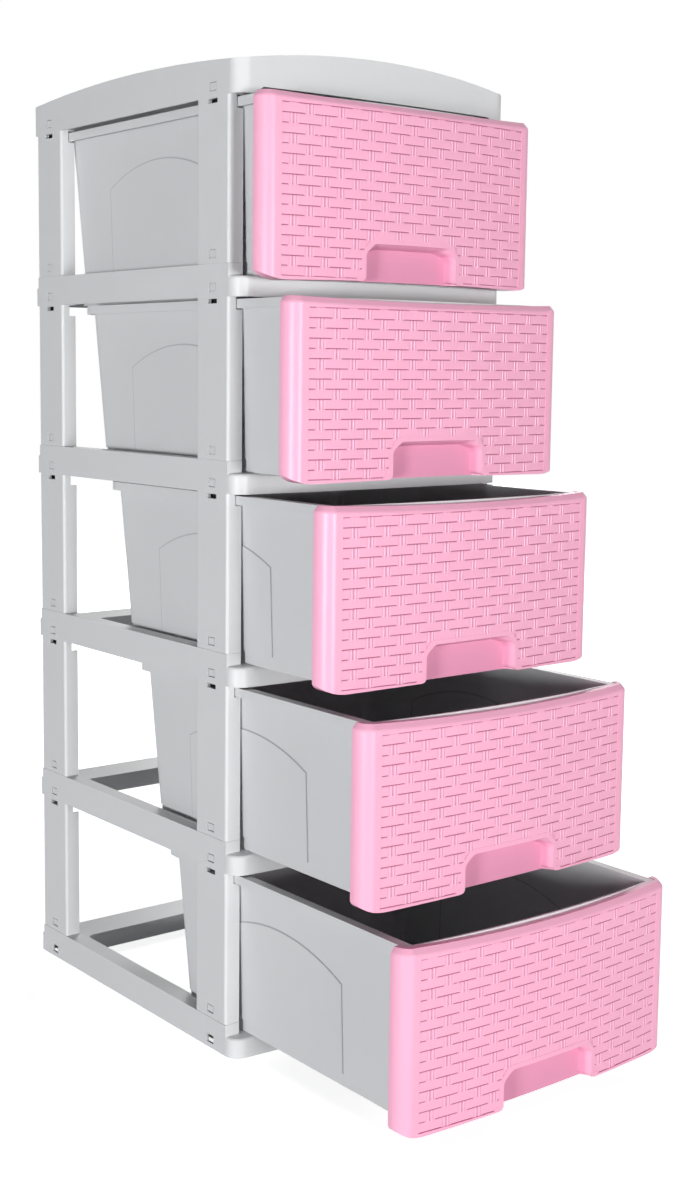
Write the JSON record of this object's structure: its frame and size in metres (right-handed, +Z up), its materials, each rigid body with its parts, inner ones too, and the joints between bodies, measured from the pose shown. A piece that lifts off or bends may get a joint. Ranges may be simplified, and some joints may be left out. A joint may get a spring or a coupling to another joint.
{
  "type": "plastic drawer tower",
  "caption": "Free-standing plastic tower of ring frames and corner posts with sliding drawers, for craft supplies and small parts.",
  "frame": {"origin": "on the floor, midway between the outer faces of the corner posts", "axes": "+X to the right seen from the front, +Y to the rear (the drawers open towards -Y), +Z up"},
  "size_m": [0.35, 0.6685, 1.006],
  "materials": {
    "body_plastic": "smooth, slightly glossy",
    "tub_plastic": "smooth, slightly glossy",
    "front_plastic": "moulded basket-weave pattern, slightly glossy"
  },
  "bodies": {
    "tower": {"top_cover": "body_plastic", "frame_1": "body_plastic", "frame_2": "body_plastic", "frame_3": "body_plastic", "frame_4": "body_plastic", "base_frame": "body_plastic", "post_1_front_left": "body_plastic", "post_1_front_right": "body_plastic", "post_1_rear_left": "body_plastic", "post_1_rear_right": "body_plastic", "post_2_front_left": "body_plastic", "post_2_front_right": "body_plastic", "post_2_rear_left": "body_plastic", "post_2_rear_right": "body_plastic", "post_3_front_left": "body_plastic", "post_3_front_right": "body_plastic", "post_3_rear_left": "body_plastic", "post_3_rear_right": "body_plastic", "post_4_front_left": "body_plastic", "post_4_front_right": "body_plastic", "post_4_rear_left": "body_plastic", "post_4_rear_right": "body_plastic", "post_5_front_left": "body_plastic", "post_5_front_right": "body_plastic", "post_5_rear_left": "body_plastic", "post_5_rear_right": "body_plastic"},
    "drawer_1": {"drawer_1_box": "tub_plastic", "drawer_1_front": "front_plastic"},
    "drawer_2": {"drawer_2_box": "tub_plastic", "drawer_2_front": "front_plastic"},
    "drawer_3": {"drawer_3_box": "tub_plastic", "drawer_3_front": "front_plastic"},
    "drawer_4": {"drawer_4_box": "tub_plastic", "drawer_4_front": "front_plastic"},
    "drawer_5": {"drawer_5_box": "tub_plastic", "drawer_5_front": "front_plastic"}
  },
  "joints": [
    {"name": "drawer_1_slide", "type": "slide", "parent": "tower", "child": "drawer_1", "axis": [0, -1, 0], "range_m": [-0.023, 0.262]},
    {"name": "drawer_2_slide", "type": "slide", "parent": "tower", "child": "drawer_2", "axis": [0, -1, 0], "range_m": [-0.067, 0.218]},
    {"name": "drawer_3_slide", "type": "slide", "parent": "tower", "child": "drawer_3", "axis": [0, -1, 0], "range_m": [-0.12, 0.165]},
    {"name": "drawer_4_slide", "type": "slide", "parent": "tower", "child": "drawer_4", "axis": [0, -1, 0], "range_m": [-0.179, 0.106]},
    {"name": "drawer_5_slide", "type": "slide", "parent": "tower", "child": "drawer_5", "axis": [0, -1, 0], "range_m": [-0.236, 0.049]}
  ]
}
